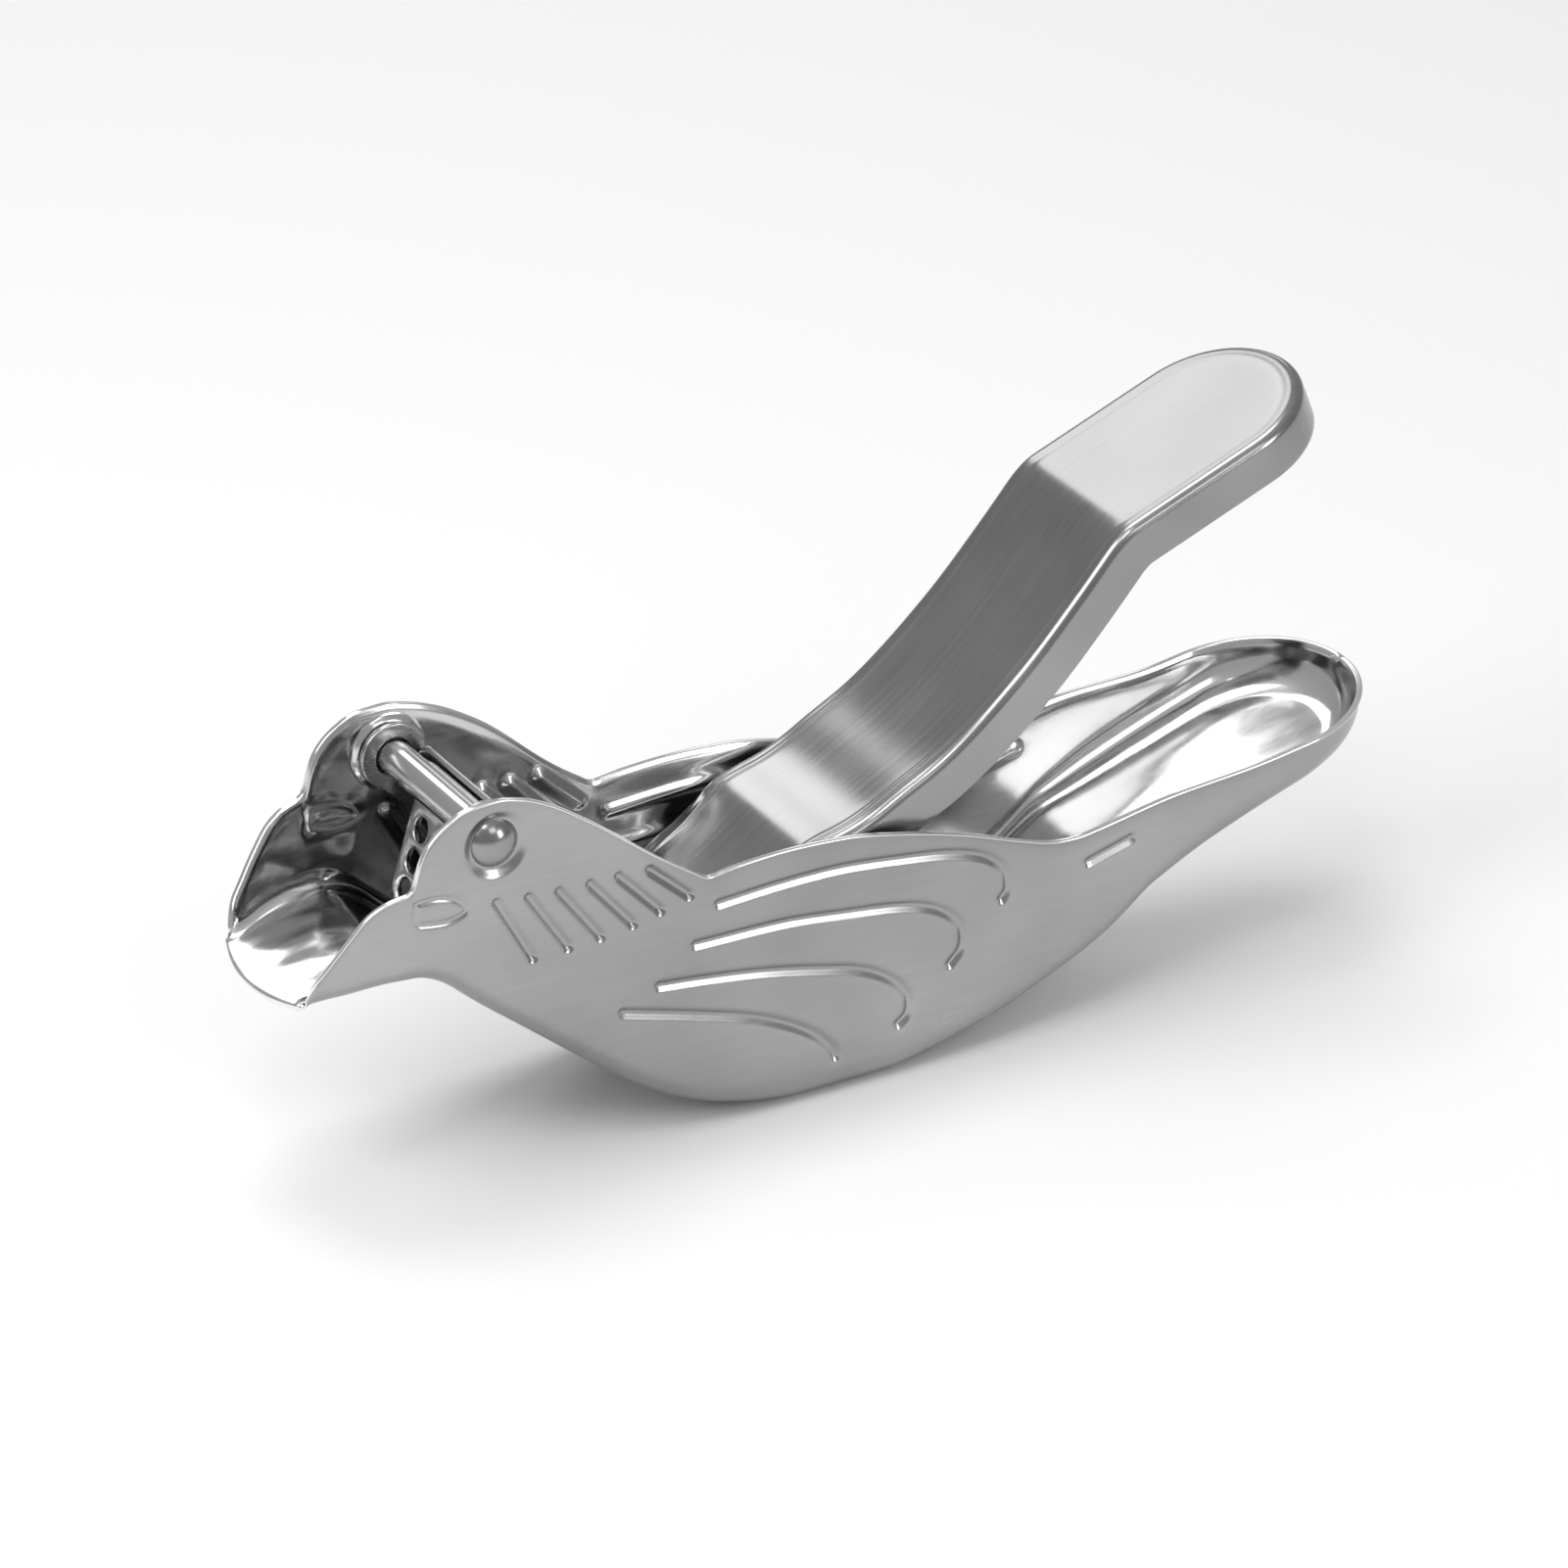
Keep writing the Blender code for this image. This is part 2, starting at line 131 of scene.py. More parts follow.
# Pressed decoration on both walls, as the middle lines of grooves in (x, z).
FEATHERS = (
    ((28.9, -15.6), (37.4, -15.2), (45.2, -15.3), (53.1, -16.2), (59.8, -17.3), (64.6, -19.0), (67.3, -21.4),
     (67.8, -24.0), (67.0, -25.2)),
    ((25.8, -20.1), (37.4, -20.4), (45.2, -21.3), (53.2, -22.5), (58.0, -24.1), (61.2, -26.9), (61.6, -30.0),
     (60.0, -32.0)),
    ((21.0, -24.2), (26.9, -24.9), (34.7, -26.1), (42.6, -27.9), (47.9, -29.5), (51.9, -31.8), (54.2, -34.6),
     (54.2, -37.0), (53.0, -38.1)),
    ((16.2, -26.4), (24.3, -28.8), (32.1, -31.3), (37.3, -33.6), (41.3, -36.1), (43.8, -38.6), (44.4, -40.0)),
    ((79.0, -23.5), (84.9, -21.9)),
)
NECK_STROKES = (
    ((0.2, -7.8), (4.6, -15.9)), ((4.3, -8.2), (9.2, -15.8)), ((8.2, -8.5), (13.4, -15.6)),
    ((12.2, -8.6), (17.6, -15.1)), ((15.9, -8.6), (21.2, -14.3)), ((19.9, -8.8), (25.0, -13.4)),
)
MOUTH_LEAF = (
    (-10.0, -5.3), (-7.4, -5.2), (-5.0, -6.0), (-3.7, -7.6), (-5.6, -8.4), (-8.0, -8.3), (-10.0, -7.7),
)


def smooth(points):
    """A curve through the points with no overshoot: cubic pieces with limited slopes."""
    xs, ys = np.array(points, float).T
    steps = np.diff(xs)
    slopes = np.diff(ys) / steps
    tangents = np.concatenate([slopes[:1], np.zeros(len(xs) - 2), slopes[-1:]])
    for i in range(1, len(xs) - 1):
        if slopes[i - 1] * slopes[i] > 0:
            before = 2 * steps[i] + steps[i - 1]
            after = steps[i] + 2 * steps[i - 1]
            tangents[i] = (before + after) / (before / slopes[i - 1] + after / slopes[i])

    def at(x):
        x = np.clip(x, xs[0], xs[-1])
        i = np.clip(np.searchsorted(xs, x, side="right") - 1, 0, len(xs) - 2)
        t = (x - xs[i]) / steps[i]
        rise = (3 - 2 * t) * t * t
        return ((1 - rise) * ys[i] + rise * ys[i + 1]
                + steps[i] * t * (1 - t) * ((1 - t) * tangents[i] - t * tangents[i + 1]))

    return at


def joined(*runs):
    """One height function from profile runs that meet at corners."""
    ends = [run[-1][0] for run in runs[:-1]]
    curves = [smooth(run) for run in runs]

    def at(x):
        x = np.asarray(x, float)
        return np.select([x <= end for end in ends], [curve(x) for curve in curves[:-1]], curves[-1](x))

    return at


def softened(curve, first, last, radius):
    """The curve with its corners rounded: a weighted mean over radius to each side, less near the two ends.

    radius is a length, or a function of x.
    """
    shifts = np.linspace(-1, 1, 11)
    weights = 1 - np.abs(shifts) * 0.9
    weights /= weights.sum()

    def at(x):
        x = np.asarray(x, float)
        reach = np.clip(np.minimum(x - first, last - x), 0, radius(x) if callable(radius) else radius)
        return sum(weight * curve(x + reach * shift) for weight, shift in zip(weights, shifts))

    return at


def step(x, start, end):
    """0 before start, 1 after end, and a smooth rise between them."""
    t = np.clip((x - start) / (end - start), 0, 1)
    return t * t * (3 - 2 * t)


def bump(x, middle, reach):
    """1 at the middle, 0 beyond reach to either side, and smooth between."""
    return 1 - step(np.abs(x - middle), 0, reach)


def rim_rounding(x):
    """How far the rim's corners are rounded: little at the beak and neck, more where back meets tail."""
    return 0.7 + 4.3 * bump(x, BACK_END_X, 9.0)


rim_line = softened(joined(LIP_RIM, HEAD_RIM, BACK_RIM, TAIL_RIM), LIP_CORNER_X, TAIL_END_X, rim_rounding)
floor_height = softened(joined(BELLY_FLOOR, TAIL_FLOOR), LIP_FRONT_X, TAIL_END_X, radius=1.6)
half_width = softened(smooth(BEAK_HALF_WIDTH), LIP_CORNER_X, PAST_THE_END_X, radius=1.2)
flange_height = softened(smooth(LEVER_FLANGE), LEVER_FLANGE[0][0], PAST_THE_END_X, radius=1.5)
lever_half_width = smooth(LEVER_HALF_WIDTH)
lever_top = softened(smooth(LEVER_TOP), LEVER_TOP[0][0], LEVER_KINK[0], radius=1.8)


# ---- Flat regions, drawn as outlines and lines that the triangles follow.

# Of the spacing between fill points: the gap between their rows, and how near a fixed point they may come.
ROW_SHARE = 0.866
CLEAR_SHARE = 0.6


def curve_through(points, spacing):
    """A smooth line through the points, as evenly spaced points."""
    p = np.array(points, float)
    if len(p) == 2:
        dense = p[0] + np.linspace(0, 1, 50)[:, None] * (p[1] - p[0])
    else:
        ends = np.vstack([2 * p[0] - p[1], p, 2 * p[-1] - p[-2]])
        t = np.linspace(0, 1, 24, endpoint=False)[:, None]
        runs = []
        for a, b, c, d in zip(ends, ends[1:], ends[2:], ends[3:]):
            runs.append(0.5 * (2 * b + (c - a) * t + (2 * a - 5 * b + 4 * c - d) * t * t
                               + (3 * b - a - 3 * c + d) * t ** 3))
        dense = np.vstack(runs + [p[-1:]])
    along = np.concatenate([[0], np.cumsum(np.linalg.norm(np.diff(dense, axis=0), axis=1))])
    wanted = np.linspace(0, along[-1], max(int(round(along[-1] / spacing)), 1) + 1)
    return np.column_stack([np.interp(wanted, along, dense[:, k]) for k in (0, 1)])


def circle(centre, radius, count):
    """A closed loop of evenly spaced points."""
    turns = np.arange(count) * 2 * math.pi / count
    return np.column_stack([centre[0] + radius * np.cos(turns), centre[1] + radius * np.sin(turns)])


def loop_round(line, radius):
    """A closed loop at one distance round a line, with round ends."""
    ahead = np.gradient(line, axis=0)
    ahead /= np.linalg.norm(ahead, axis=1)[:, None]
    side = np.column_stack([-ahead[:, 1], ahead[:, 0]])
    turns = np.linspace(0, math.pi, 8)[1:-1, None]
    first = line[0] - radius * (side[0] * np.cos(turns) + ahead[0] * np.sin(turns))
    last = line[-1] + radius * (side[-1] * np.cos(turns) + ahead[-1] * np.sin(turns))
    return np.vstack([line + radius * side, last, (line - radius * side)[::-1], first])


def distance_to(points, line):
    """How far each point is from a line."""
    best = np.full(len(points), 1e9)
    for a, b in zip(line, line[1:]):
        along = np.clip(((points - a) @ (b - a)) / ((b - a) @ (b - a)), 0, 1)
        best = np.minimum(best, np.linalg.norm(points - a - along[:, None] * (b - a), axis=1))
    return best


def inside(points, loop):
    """Which points lie inside a closed loop."""
    found = np.zeros(len(points), bool)
    x, y = points.T
    for (ax, ay), (bx, by) in zip(loop, np.roll(loop, -1, axis=0)):
        if ay != by:
            found ^= ((ay > y) != (by > y)) & (x < (bx - ax) * (y - ay) / (by - ay) + ax)
    return found


def region(outline, loops=(), lines=(), holes=(), spacing=None):
    """Points and triangles that fill an outline, follow the loops and lines, and leave the holes open."""
    points, edges = [], []
    chains = [(chain, True) for chain in (outline, *loops, *holes)] + [(line, False) for line in lines]
    for chain, closed in chains:
        start = len(points)
        points += list(chain)
        edges += [(start + i, start + i + 1) for i in range(len(chain) - 1)]
        if closed:
            edges.append((start + len(chain) - 1, start))
    if spacing:
        low, high = outline.min(0), outline.max(0)
        rows = []
        for k, y in enumerate(np.arange(low[1], high[1], spacing * ROW_SHARE)):
            xs = np.arange(low[0] + spacing * (0.25 + 0.5 * (k % 2)), high[0], spacing)
            rows.append(np.column_stack([xs, np.full(len(xs), y)]))
        fill = np.vstack(rows)
        fill = fill[inside(fill, outline)]
        fixed = np.array(points)
        gap = CLEAR_SHARE * spacing
        clear = np.array([np.min(np.sum((fixed - f) ** 2, axis=1)) > gap ** 2 for f in fill])
        points += list(fill[clear])
    made = delaunay_2d_cdt([Vector(p) for p in points], edges, [], 0, 1e-5)
    flat = np.array([tuple(v) for v in made[0]])
    triangles = np.array([list(face) for face in made[2]])
    middles = flat[triangles].mean(axis=1)
    kept = inside(middles, outline)
    for hole in holes:
        kept &= ~inside(middles, hole)
    return flat, triangles[kept]


# ---- Sheets.

EDGE_RADIUS = 0.2
BODY_EDGE_RADIUS = 0.22


class Surface:
    """A base surface that grows patch by patch. Points that meet are joined at the end."""

    def __init__(self):
        self.bm = bmesh.new()

    def add(self, points, faces):
        verts = [self.bm.verts.new(p) for p in points]
        for face in faces:
            self.bm.faces.new([verts[i] for i in face])

    def add_grid(self, grid):
        """Quads over rows of points, shape (rows, columns, 3)."""
        rows, columns = grid.shape[:2]
        quads = [(r * columns + c, r * columns + c + 1, (r + 1) * columns + c + 1, (r + 1) * columns + c)
                 for r in range(rows - 1) for c in range(columns - 1)]
        self.add(grid.reshape(-1, 3), quads)

    def joined_up(self, outside_point):
        """Arrays of points, normals and faces, and the open edges. outside_point lies off the outer face."""
        bm = self.bm
        bmesh.ops.remove_doubles(bm, verts=bm.verts, dist=0.01)
        bmesh.ops.dissolve_degenerate(bm, dist=0.002, edges=bm.edges)
        unused = [v for v in bm.verts if not v.link_faces]
        bmesh.ops.delete(bm, geom=unused, context="VERTS")
        bmesh.ops.recalc_face_normals(bm, faces=bm.faces)
        nearest = min(bm.faces, key=lambda f: (f.calc_center_median() - Vector(outside_point)).length)
        if nearest.normal.dot(Vector(outside_point) - nearest.calc_center_median()) < 0:
            bmesh.ops.reverse_faces(bm, faces=bm.faces)
        bm.normal_update()
        bm.verts.index_update()
        points = np.array([tuple(v.co) for v in bm.verts])
        normals = np.array([tuple(v.normal) for v in bm.verts])
        faces = [[v.index for v in f.verts] for f in bm.faces]
        open_edges = []
        for edge in bm.edges:
            if len(edge.link_loops) == 1:
                loop = edge.link_loops[0]
                outward = (loop.link_loop_next.vert.co - loop.vert.co).cross(loop.face.normal).normalized()
                open_edges.append((loop.vert.index, loop.link_loop_next.vert.index, tuple(outward)))
        bm.free()
        return points, normals, faces, open_edges


def sheet_of(surface, outside_point, edge_radius, pressed=None, pressed_inside=None):
    """(points, faces, ends) of a closed sheet.

    Its outer faces come first, then its rounded edge from ends[0], then its inner faces from ends[1].
    """
    points, normals, faces, open_edges = surface.joined_up(outside_point)
    dent = pressed(points, normals) if pressed else np.zeros(len(points))
    inner_dent = pressed_inside(points, normals) if pressed_inside else dent
    outward = np.zeros_like(points)
    for a, b, direction in open_edges:
        outward[a] += direction
        outward[b] += direction
    lengths = np.linalg.norm(outward, axis=1)
    edge = np.flatnonzero(lengths)
    outward[edge] /= lengths[edge, None]
    r = edge_radius
    outer = points - dent[:, None] * normals - r * outward
    inner = points - (SHEET + inner_dent)[:, None] * normals - r * outward
    count = len(points)
    place = {v: i for i, v in enumerate(edge)}
    rings = []
    for turn in np.radians((30, 60, 90)):
        rings.append(outer[edge] + r * np.sin(turn) * outward[edge] - r * (1 - np.cos(turn)) * normals[edge])
    for turn in np.radians((90, 60, 30)):
        rings.append(inner[edge] + r * np.sin(turn) * outward[edge] + r * (1 - np.cos(turn)) * normals[edge])
    made = [outer, inner] + rings
    starts = [0] + [2 * count + k * len(edge) for k in range(len(rings))] + [count]

    def ring_index(k, v):
        return starts[k] + (place[v] if 0 < k <= len(rings) else v)

    strips = []
    for a, b, _ in open_edges:
        for k in range(len(rings) + 1):
            strips.append([ring_index(k, b), ring_index(k, a), ring_index(k + 1, a), ring_index(k + 1, b)])
    flipped = [[i + count for i in face[::-1]] for face in faces]
    return np.vstack(made), faces + strips + flipped, (len(faces), len(faces) + len(strips))


def piece(name, points, faces, materials, body, replaces, ends=()):
    """A named piece that rides on its body and stands for its CAD node.

    The next material starts at each of ends.
    """
    mesh = bpy.data.meshes.new(name)
    mesh.from_pydata([tuple(p) for p in np.asarray(points) * MM + np.array(PIN)], [], faces)
    mesh.validate()
    for material in materials:
        mesh.materials.append(material)
    if ends:
        starts = np.searchsorted(ends, np.arange(len(mesh.polygons)), side="right")
        mesh.polygons.foreach_set("material_index", starts.astype(np.int32))
    mesh.shade_smooth()
    thing = bpy.data.objects.new(name, mesh)
    bpy.context.scene.collection.objects.link(thing)
    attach(thing, body)
    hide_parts(replaces)
    return thing


# ---- The body: walls unrolled along the rim, and a bent floor between them.

# Steps along the unrolled rim, as (start, end, count).
BODY_RUNS = (
    (LIP_CORNER_X, -10.4, 22), (-10.4, 3.6, 22), (3.6, 27.2, 28), (27.2, BACK_END_X, 56),
    (BACK_END_X, 88.0, 16), (88.0, TAIL_CENTRE_X, 20), (TAIL_CENTRE_X, TAIL_CENTRE_X + TAIL_ARC, 26),
)
EYE = (0.25, -0.4)
EYE_DEPTH = 0.62
EYE_FLAT_RADIUS = 2.95
EYE_RADIUS = 4.5
EYE_CIRCLES = (2.95, 3.1, 3.3, 3.5, 3.7, 3.9, 4.1, 4.3, 4.5, 4.7, 4.95)

# Grooves, as (lines, half width, depth), and the loops round each, as shares of its half width.
GROOVES = ((FEATHERS, 1.1, 0.48), (NECK_STROKES, 1.05, 0.60))
GROOVE_LOOPS = (0.2, 0.4, 0.6, 0.8, 1.0, 1.45)
INNER_WIDENING = 0.45

# Rises of the far rim, as (middle, reach, height).
FAR_RISES = ((13.5, 11.0, 0.9), (91.0, 16.0, 0.7))
TAIL_BEND_EXTRA = 1.8
RIM_FLARE = 0.38
RIM_FLARE_REACH = 2.4
RIM_DROPS = (0.45, 0.95, 1.55, 2.3)
FOOT_CLEARANCE = 0.45
SPOUT_WAVE = 0.11
TAIL_WAVE = 0.035
LEAF_HALF_WIDTH = 0.6
LEAF_DEPTH = 0.30
LEAF_CENTRE = (-7.0, -7.0)
LEAF_SEARCH_RADIUS = 8.0
BOSS_DEPTH = EYE_DEPTH - 0.1
BOSS_FLAT_RADIUS = 3.9
BOSS_RADIUS = 4.8
PIN_HOLE_RADIUS = 2.5


def stations(runs):
    """Places at even steps within each run of (start, end, count)."""
    xs = [runs[0][0]]
    for start, end, count in runs:
        xs += list(np.linspace(start, end, count + 1)[1:])
    return np.array(xs)


def wall_reach(s):
    """(foot x, direction x, direction across, reach) of the wall at a place along the unrolled rim."""
    turn = np.clip((s - TAIL_CENTRE_X) / BODY_HALF_WIDTH, 0, QUARTER)
    return np.minimum(s, TAIL_CENTRE_X), np.sin(turn), np.cos(turn), half_width(s)


def wall_x(s):
    foot, ahead, _, reach = wall_reach(s)
    return foot + ahead * reach


def wall_top(s, side=NEAR):
    """The rim's height. The far wall stands a little higher behind the head and along the tail."""
    x = wall_x(s)
    rises = FAR_RISES if side == FAR else ()
    return rim_line(x) + sum(height * bump(x, middle, reach) for middle, reach, height in rises)


def wall_bend(s):
    """The radius between wall and floor. It widens along the tail and shrinks where the wall is low."""
    bend = BODY_BEND + TAIL_BEND_EXTRA * step(wall_x(s), 82.0, 98.0)
    return np.minimum(bend, 0.75 * (wall_top(s) - floor_height(wall_x(s))))


def wall_bottom(s):
    return floor_height(wall_x(s)) + wall_bend(s)


def on_wall(flat, side):
    s, z = flat.T
    foot, ahead, across, reach = wall_reach(s)
    return np.column_stack([foot + ahead * reach, side * across * reach, z])


def groove_loops():
    """Lines for the triangles to follow round each pressed line and the eye."""
    loops, lines = [], []
    for group, half, _ in GROOVES:
        for points in group:
            line = curve_through(points, 0.5)
            lines.append(line)
            loops += [loop_round(line, half * share) for share in GROOVE_LOOPS]
    leaf = curve_through(MOUTH_LEAF + MOUTH_LEAF[:1], 0.4)[:-1]
    ahead = np.roll(leaf, -1, axis=0) - np.roll(leaf, 1, axis=0)
    side = np.column_stack([-ahead[:, 1], ahead[:, 0]]) / np.linalg.norm(ahead, axis=1)[:, None]
    loops += [leaf + LEAF_HALF_WIDTH * share * side for share in (-1.0, -0.5, 0.0, 0.5, 1.0)]
    loops += [circle(EYE, radius, 72) for radius in EYE_CIRCLES]
    return loops, lines


def pressed_by(points, normals, widen, eye_depth, eye_flat, eye_edge):
    """How far the sheet is pressed in at each point.

    The walls have feathers, neck strokes, the leaf and the eye's dish. The waves are added to that, and the
    rim's flare is taken off.
    """
    flat = points[:, [0, 2]]
    depth = np.zeros(len(points))
    on_side = np.abs(normals[:, 1]) > 0.9
    for lines, half, deep in GROOVES:
        for points_of_line in lines:
            line = curve_through(points_of_line, 0.4)
            low, high = line.min(0) - 3, line.max(0) + 3
            near = np.flatnonzero(on_side & (flat > low).all(1) & (flat < high).all(1))
            away = distance_to(flat[near], line)
            depth[near] = np.maximum(depth[near], deep * (1 - step(away, -0.1, half + widen)))
    from_leaf = np.linalg.norm(flat - np.array(LEAF_CENTRE), axis=1)
    near = np.flatnonzero(on_side & (from_leaf < LEAF_SEARCH_RADIUS))
    leaf = curve_through(MOUTH_LEAF + MOUTH_LEAF[:1], 0.4)
    away = distance_to(flat[near], leaf)
    depth[near] = np.maximum(depth[near], LEAF_DEPTH * (1 - step(away, 0.0, LEAF_HALF_WIDTH + widen / 2)))
    away = np.linalg.norm(flat - np.array(EYE), axis=1)
    dish = eye_depth * (1 - step(away, eye_flat, eye_edge))
    return np.where(on_side, np.maximum(depth, dish), 0.0) + waves(points, normals) - flare(points, normals)


def flare(points, normals):
    """How far the walls lean out just under the rim."""
    x, y, z = points.T
    top = np.where(y > 0, wall_top(x, FAR), wall_top(x, NEAR))
    top = np.where(x > TAIL_CENTRE_X, rim_line(x), top)
    under = np.clip(1 - (top - z) / RIM_FLARE_REACH, 0, 1)
    tall = step(top - floor_height(x), 2.0, 5.0)
    return RIM_FLARE * tall * under ** 2 * (1 - step(np.abs(normals[:, 2]), 0.1, 0.7))


def waves(points, normals):
    """The slight unevenness that stamping leaves in the spout's floor and the tail's."""
    x, y, _ = points.T
    flat = step(np.abs(normals[:, 2]), 0.75, 0.95)
    lip = LIP_CORNER_X - LIP_BULGE * (1 - (y / half_width(LIP_CORNER_X)) ** 2)
    spout = SPOUT_WAVE * np.sin(1.05 * y - 0.30 * x + 0.6) * np.cos(0.45 * x + 0.25 * y)
    spout *= 1 - step(x, -14.0, -8.0)
    spout *= step(x - lip, 0.6, 3.6)
    tail = TAIL_WAVE * np.sin(0.33 * x + 0.50 * y) * np.cos(0.21 * x - 0.65 * y) * step(x, 84.0, 92.0)
    return flat * (spout + tail)


def lines_under(rim):
    """Lines at a few depths under the rim, kept clear of the foot of the wall where the wall is low."""
    lines = []
    for drop in RIM_DROPS:
        line = rim[2:-2] - np.array((0.0, drop))
        clear = line[:, 1] > wall_bottom(line[:, 0]) + FOOT_CLEARANCE
        runs = np.split(np.arange(len(line)), np.flatnonzero(np.diff(clear.astype(int))) + 1)
        lines += [line[run] for run in runs if clear[run[0]] and len(run) > 1]
    return lines


def body_surface():
    surface = Surface()
    s_values = stations(BODY_RUNS)
    loops, lines = groove_loops()
    hole = circle(EYE, PIN_HOLE_RADIUS, 48)
    fine = np.linspace(s_values[0], s_values[-1], 6000)
    for side in (NEAR, FAR):
        rim = curve_through(np.column_stack([fine, wall_top(fine, side)])[::8], 0.6)
        bottom = np.column_stack([s_values, wall_bottom(s_values)])
        last = s_values[-1]
        end = np.column_stack([np.full(4, last), np.linspace(wall_bottom(last), wall_top(last), 6)[1:-1]])
        outline = np.vstack([rim, end[::-1], bottom[::-1]])
        flat, triangles = region(outline, loops, lines + lines_under(rim), [hole], spacing=1.15)
        surface.add(on_wall(flat, side), triangles)
        surface.add_grid(body_floor(s_values, side))
    return surface


def body_floor(s_values, side):
    """Rows of points from the foot of a wall round the bend to the middle line."""
    bend_rows, floor_rows = 9, 10
    foot, ahead, across, reach = wall_reach(s_values)
    bend = wall_bend(s_values)
    along = step(-s_values, -LIP_BULGE_START, -LIP_CORNER_X)
    rows = []
    path = [(QUARTER * i / bend_rows, None) for i in range(bend_rows + 1)]
    path += [(None, 1 - i / floor_rows) for i in range(1, floor_rows + 1)]
    for turn, share in path:
        if share is None:
            out, above = reach - bend + bend * np.cos(turn), bend * (1 - np.sin(turn))
        else:
            out, above = (reach - bend) * share, 0.0
        x = foot + ahead * out - LIP_BULGE * along * (1 - (out / reach) ** 2)
        z = wall_bottom(s_values) if turn == 0 else floor_height(x) + above
        rows.append(np.column_stack([x, side * across * out, z]))
    return np.stack(rows)


def make_body(materials):
    def pressed(points, normals):
        return pressed_by(points, normals, 0.0, EYE_DEPTH, EYE_FLAT_RADIUS, EYE_RADIUS)

    def pressed_inside(points, normals):
        return pressed_by(points, normals, INNER_WIDENING, BOSS_DEPTH, BOSS_FLAT_RADIUS, BOSS_RADIUS)

    beside_near_wall = (30.0, -40.0, -25.0)
    surface = body_surface()
    points, faces, ends = sheet_of(surface, beside_near_wall, BODY_EDGE_RADIUS, pressed, pressed_inside)
    return piece("body_steel_shell", points, faces, materials, "body", "body_shell", ends)


# ---- The lever: a slope with flanges, the pad, and a lug on each side.

KINK_RADIUS = 2.0

# Steps along the slope, as (start, end, count).
LEVER_RUNS = (
    (4.4, 19.5, 18), (19.5, 29.5, 18), (29.5, 50.0, 36), (50.0, LEVER_KINK[0] - KINK_RADIUS, 34),
)
SLOPE_REACH = 0.15
BEAD_IN = 2.3
BEAD_HALF_WIDTH = 0.75
BEAD_HEIGHT = 0.11
BEAD_RISES = (27.0, 36.0)
BEAD_SINKS = (82.0, 88.0)
BEAD_LOSS_ON_PAD = 0.7
FLANGE_ROWS = 5


def lever_frames():
    """(x, z, slope) down from the head, up to the kink and on to the pad's round end."""
    xs = stations(LEVER_RUNS)
    first = LEVER_TOP[0][0]
    before, after = xs - SLOPE_REACH, xs + SLOPE_REACH
    slopes = np.arctan2(lever_top(after) - lever_top(before),
                        np.clip(after, first, None) - np.clip(before, first, None))
    found = list(zip(xs, lever_top(xs), slopes))
    x, z = LEVER_KINK
    start = np.array([xs[-1], float(lever_top(xs[-1]))])
    end = np.array([x + KINK_RADIUS * math.cos(PAD_SLOPE), z + KINK_RADIUS * math.sin(PAD_SLOPE)])
    corner = np.array([x, z])
    for t in np.linspace(0, 1, 9)[1:]:
        p = (1 - t) ** 2 * start + 2 * t * (1 - t) * corner + t * t * end
        d = (1 - t) * (corner - start) + t * (end - corner)
        found.append((p[0], p[1], math.atan2(d[1], d[0])))
    for along in np.linspace(KINK_RADIUS, PAD_STRAIGHT, 15)[1:]:
        found.append((x + along * math.cos(PAD_SLOPE), z + along * math.sin(PAD_SLOPE), PAD_SLOPE))
    return found


def lever_row(x, z, slope, ahead, across, side):
    """From the middle line over the edge bead and the bend to the flange's free edge."""
    web_rows, bead_rows, bend_rows = 7, 8, 7
    reach, flange = float(lever_half_width(x)), float(flange_height(x))
    web = reach - BEAD_IN - BEAD_HALF_WIDTH
    path = [(web * i / web_rows, 0.0) for i in range(web_rows)]
    raised = BEAD_HEIGHT * float(step(x, *BEAD_RISES) - BEAD_LOSS_ON_PAD * step(x, *BEAD_SINKS))
    for i in range(bead_rows + 1):
        off = BEAD_HALF_WIDTH * (2 * i / bead_rows - 1)
        path.append((reach - BEAD_IN + off, -raised * float(bump(off, 0.0, BEAD_HALF_WIDTH))))
    for i in range(bend_rows + 1):
        turn = QUARTER * i / bend_rows
        path.append((reach - LEVER_BEND + LEVER_BEND * math.sin(turn), LEVER_BEND * (1 - math.cos(turn))))
    path += [(reach, LEVER_BEND + (flange - LEVER_BEND) * i / FLANGE_ROWS) for i in range(1, FLANGE_ROWS + 1)]
    return [(x + ahead * out * math.cos(slope) + down * math.sin(slope),
             side * across * out,
             z + ahead * out * math.sin(slope) - down * math.cos(slope)) for out, down in path]


def lever_surface():
    surface = Surface()
    frames = lever_frames()
    for side in (NEAR, FAR):
        rows = [lever_row(x, z, slope, 0.0, 1.0, side) for x, z, slope in frames]
        x, z, slope = frames[-1]
        for turn in np.linspace(0, QUARTER, 25)[1:]:
            rows.append(lever_row(x, z, slope, math.sin(turn), math.cos(turn), side))
        grid = np.array(rows)
        surface.add_grid(grid)
        front = grid[0][-FLANGE_ROWS - 1:][:, [0, 2]]
        turns = np.linspace(LUG_FROM, LUG_TO, 40)
        ring = LUG_RADIUS * np.column_stack([np.cos(turns), np.sin(turns)])
        hole = circle((0.0, 0.0), LUG_HOLE_RADIUS, 40)
        flat, triangles = region(np.vstack([ring, front[::-1]]), holes=[hole], spacing=0.9)
        reach = float(lever_half_width(0.0))
        surface.add(np.column_stack([flat[:, 0], np.full(len(flat), side * reach), flat[:, 1]]), triangles)
    return surface


def make_lever(materials):
    above_slope = (60.0, 0.0, 30.0)
    points, faces, ends = sheet_of(lever_surface(), above_slope, EDGE_RADIUS)
    return piece("press_lever_steel", points, faces, materials, "lever", "press_lever", ends)


